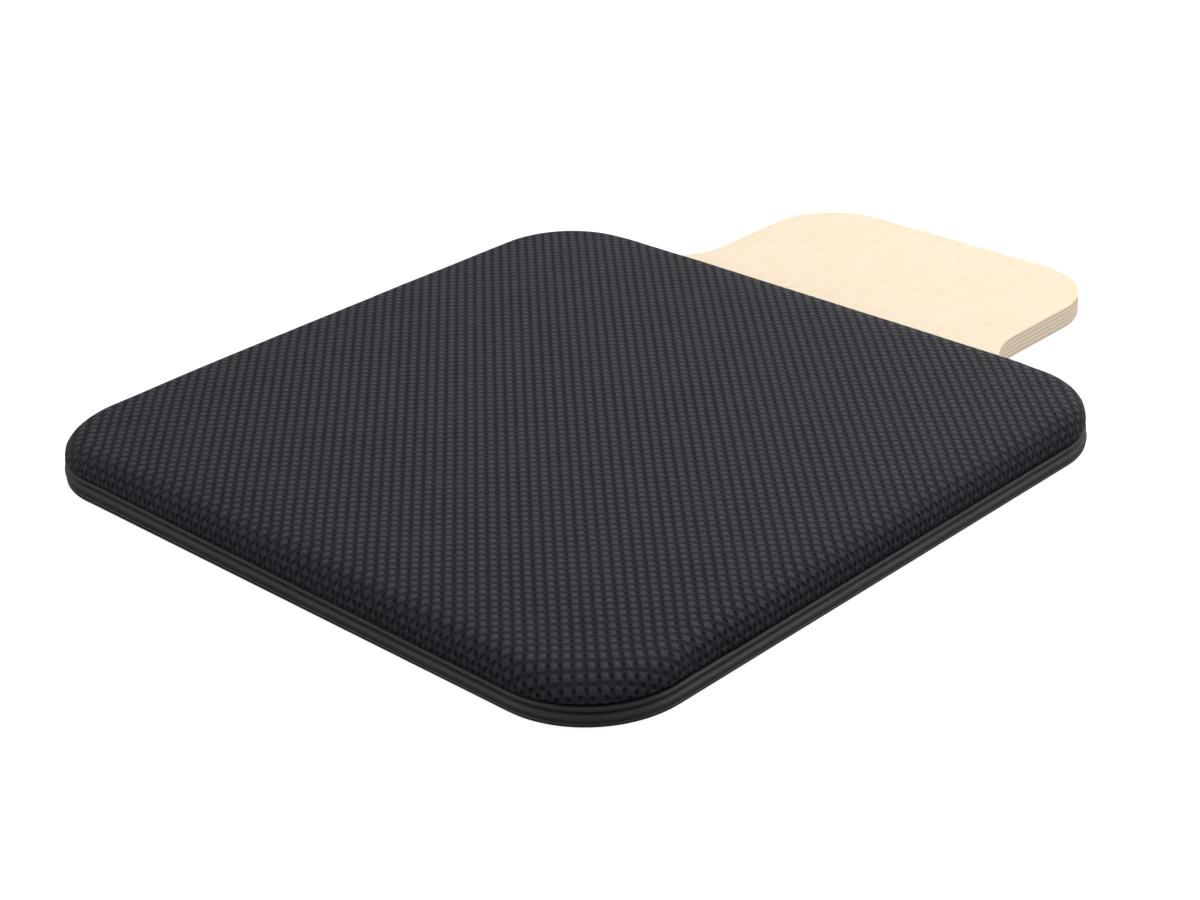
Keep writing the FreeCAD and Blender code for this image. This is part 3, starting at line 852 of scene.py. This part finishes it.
def birch_plywood():
    """Lacquered birch ply: pale figured faces with the grain along Y, and eleven plies on the edge."""
    nodes = Nodes("birch_plywood", (0.9, 0.78, 0.6), 0.42)
    nodes.gloss(0.4)
    place = nodes.place()
    split = nodes.add("SeparateXYZ")
    nodes.plug(split.inputs[0], place)
    facing = nodes.add("SeparateXYZ")
    nodes.plug(facing.inputs[0], nodes.add("NewGeometry").outputs["Normal"])

    rings = nodes.noise(nodes.place((1, 0.09, 1)), 16 * MM, 3.0)
    bands = nodes.math("SINE", nodes.math("MULTIPLY", rings, 46.0))
    fibres = nodes.noise(nodes.place((1, 0.03, 1)), 0.7 * MM, 4.0)
    flecks = nodes.noise(nodes.place((1, 0.14, 1)), 2.2 * MM, 2.0)
    blush = nodes.noise(nodes.place((1, 0.3, 1)), 55 * MM, 2.0)
    face = nodes.mix(nodes.fade(bands, -0.6, 1.0, 0.0, 0.35), (0.95, 0.81, 0.605), (0.88, 0.72, 0.50))
    face = nodes.mix(nodes.fade(fibres, 0.45, 0.75, 0.0, 0.22), face, (0.80, 0.62, 0.41))
    face = nodes.mix(nodes.fade(flecks, 0.66, 0.76, 0.0, 0.4), face, (0.72, 0.53, 0.33))
    face = nodes.mix(nodes.fade(blush, 0.5, 0.75, 0.0, 0.3), face, (0.93, 0.76, 0.55))

    thickness = BOARD_TOP - BOARD_LOW.z
    level = nodes.math("DIVIDE", nodes.math("SUBTRACT", split.outputs["Z"], BOARD_LOW.z),
                       thickness / PLY_COUNT)
    crossing = nodes.math("MODULO", nodes.math("FLOOR", level), 2.0)
    toward_x = nodes.math("ABSOLUTE", facing.outputs["X"])
    toward_y = nodes.math("ABSOLUTE", facing.outputs["Y"])
    end_grain = nodes.math("ADD", nodes.math("MULTIPLY", crossing, toward_x),
                           nodes.math("MULTIPLY", nodes.math("SUBTRACT", 1.0, crossing),
                                      nodes.math("MULTIPLY", toward_y, 0.6)))
    glue = nodes.fade(nodes.math("PINGPONG", level, 0.5), 0.02, 0.09, 0.55, 0.0)
    specks = nodes.noise(nodes.place((1, 1, 3)), 0.5 * MM, 3.0)
    edge = nodes.mix(nodes.fade(specks, 0.3, 0.7, 0.0, 0.35), (1.0, 0.91, 0.73), (1.0, 0.85, 0.65))
    edge = nodes.mix(nodes.math("MULTIPLY", end_grain, 0.6), edge, (0.74, 0.52, 0.34))
    edge = nodes.mix(glue, edge, (0.44, 0.31, 0.20))
    flat = nodes.fade(nodes.math("ABSOLUTE", facing.outputs["Z"]), 0.55, 0.85)
    nodes.colour(nodes.mix(flat, edge, face))
    nodes.roughness(nodes.fade(fibres, 0.3, 0.7, 0.36, 0.5))
    nodes.normal(nodes.bump(nodes.math("SUBTRACT", fibres, nodes.math("MULTIPLY", glue, 0.8)), 0.04 * MM))
    return nodes.material


def foam():
    """Charcoal foam with fine open cells."""
    nodes = Nodes("foam", (0.05, 0.05, 0.055), 0.95)
    nodes.gloss(0.15)
    cells = nodes.add("TexVoronoi")
    nodes.plug(cells.inputs["Vector"], nodes.place())
    cells.inputs["Scale"].default_value = 1 / (0.8 * MM)
    tone = nodes.fade(cells.outputs["Distance"], 0.1, 0.7)
    nodes.colour(nodes.mix(tone, (0.02, 0.02, 0.022), (0.08, 0.08, 0.086)))
    nodes.normal(nodes.bump(tone, 0.3 * MM))
    return nodes.material


def tack_card():
    """Brown pressed card with short fibres."""
    nodes = Nodes("tack_card", (0.4, 0.28, 0.17), 0.85)
    fibres = nodes.noise(nodes.place((0.3, 1, 1)), 0.6 * MM, 4.0)
    nodes.colour(nodes.mix(nodes.fade(fibres, 0.3, 0.7), (0.30, 0.20, 0.12), (0.48, 0.35, 0.22)))
    nodes.normal(nodes.bump(fibres, 0.08 * MM))
    return nodes.material


def welt_cord():
    """Twisted off-white cord."""
    nodes = Nodes("welt_cord", (0.6, 0.57, 0.5), 0.9)
    twist = nodes.add("TexWave", bands_direction="DIAGONAL")
    nodes.plug(twist.inputs["Vector"], nodes.place())
    twist.inputs["Scale"].default_value = 1 / (6 * MM)
    nodes.colour(nodes.mix(twist.outputs["Fac"], (0.36, 0.34, 0.3), (0.68, 0.65, 0.58)))
    nodes.normal(nodes.bump(twist.outputs["Fac"], 0.2 * MM))
    return nodes.material


def staple_steel():
    """Galvanised wire with drawn streaks and dull spots."""
    nodes = Nodes("staple_steel", (0.55, 0.55, 0.56), 0.35)
    nodes.shader.inputs["Metallic"].default_value = 1.0
    spots = nodes.noise(nodes.place(), 1.5 * MM, 3.0)
    nodes.colour(nodes.mix(nodes.fade(spots, 0.35, 0.7), (0.42, 0.42, 0.43), (0.66, 0.66, 0.67)))
    nodes.roughness(nodes.fade(spots, 0.3, 0.7, 0.5, 0.28))
    nodes.normal(nodes.bump(spots, 0.02 * MM))
    return nodes.material


def dress(node, material):
    """Give a CAD node that stays in view its finished material."""
    obj = frame["nodes"][node]
    obj.data.materials.clear()
    obj.data.materials.append(material)


# ---------------------------------------------------------------- floor, light and camera

FLOOR_HALF = 6.0
FLOOR_GAP = 0.05 * MM  # the floor lies this far under the pad
FLOOR_GLOW = 0.9
WORLD_LIGHT = 0.5


def floor():
    corners = [(-FLOOR_HALF, -FLOOR_HALF), (FLOOR_HALF, -FLOOR_HALF), (FLOOR_HALF, FLOOR_HALF),
               (-FLOOR_HALF, FLOOR_HALF)]
    obj = new_object("floor", [(x, y, -FLOOR_GAP) for x, y in corners], [[0, 1, 2, 3]], False)
    nodes = Nodes("floor_paint", (0.35, 0.35, 0.35), 0.9)
    nodes.gloss(0.0)
    nodes.shader.inputs["Emission Color"].default_value = (1, 1, 1, 1)
    seen = nodes.add("LightPath").outputs["Is Camera Ray"]
    nodes.plug(nodes.shader.inputs["Emission Strength"], nodes.math("MULTIPLY", seen, FLOOR_GLOW))
    obj.data.materials.append(nodes.material)


def world():
    sky = bpy.data.worlds.new("studio")
    sky.use_nodes = True
    tree = sky.node_tree
    tree.nodes["Background"].inputs["Color"].default_value = (1, 1, 1, 1)
    tree.nodes["Background"].inputs["Strength"].default_value = WORLD_LIGHT
    bpy.context.scene.world = sky


def softbox(name, place, target, size, power):
    light = bpy.data.lights.new(name, "AREA")
    light.shape = "RECTANGLE"
    light.size, light.size_y = size
    light.energy = power
    obj = bpy.data.objects.new(name, light)
    obj.location = place
    obj.rotation_euler = (Vector(target) - Vector(place)).to_track_quat("-Z", "Y").to_euler()
    bpy.context.scene.collection.objects.link(obj)


CENTRE = (0, 0.05, 0.02)
SOFTBOXES = [  # (name, place, target, size, watts)
    ("overhead", (-0.3, 0.9, 1.6), CENTRE, (1.6, 1.6), 17),
    ("right_back", (1.5, 0.9, 0.8), CENTRE, (0.7, 0.7), 8),
    ("ridge", (0.9, 1.4, 1.3), CENTRE, (0.4, 0.4), 2.5),
    ("low_back", (-0.2, 2.2, 0.14), (0.2, 0.2, 0.02), (2.4, 0.26), 2.5),
    ("front_left", (-0.8, -1.6, 0.7), CENTRE, (1.2, 1.2), 6),
]


def lights():
    for settings in SOFTBOXES:
        softbox(*settings)


LENS = 74.535
SENSOR = 36.0
TURN = math.radians(44.5355)  # the camera looks along +Y turned this far to the left
DIP = math.radians(26.4736)  # and this far down
ROLL_ANGLE = math.radians(-2.2653)
AIM = Vector((10.07 * MM, 9.34 * MM, 2.6 * MM))
DISTANCE = 1.4569


def camera():
    forward = Vector((-math.sin(TURN) * math.cos(DIP), math.cos(TURN) * math.cos(DIP), -math.sin(DIP)))
    right = Vector((math.cos(TURN), math.sin(TURN), 0))
    up = right.cross(forward)
    rolled_right = right * math.cos(ROLL_ANGLE) + up * math.sin(ROLL_ANGLE)
    rolled_up = up * math.cos(ROLL_ANGLE) - right * math.sin(ROLL_ANGLE)
    data = bpy.data.cameras.new("camera")
    data.lens = LENS
    data.sensor_width = SENSOR
    obj = bpy.data.objects.new("camera", data)
    turned = Matrix((rolled_right, rolled_up, -forward)).transposed()
    obj.matrix_world = Matrix.Translation(AIM - forward * DISTANCE) @ turned.to_4x4()
    bpy.context.scene.collection.objects.link(obj)
    bpy.context.scene.camera = obj


def build():
    cushion_cover(embossed_leatherette())
    foam_core(foam())
    leatherette = smooth_leatherette()
    piping(leatherette)
    piping_cord(welt_cord())
    border(leatherette)
    dust_cover(base_cloth())
    dress("plywood_board", birch_plywood())
    dress("neck_tack_strip", tack_card())
    steel = staple_steel()
    for node in ("border_staples", "dust_cover_staples", "neck_staples"):
        dress(node, steel)
    floor()
    world()
    lights()
    camera()
    bpy.context.scene.view_settings.view_transform = "Standard"


build()
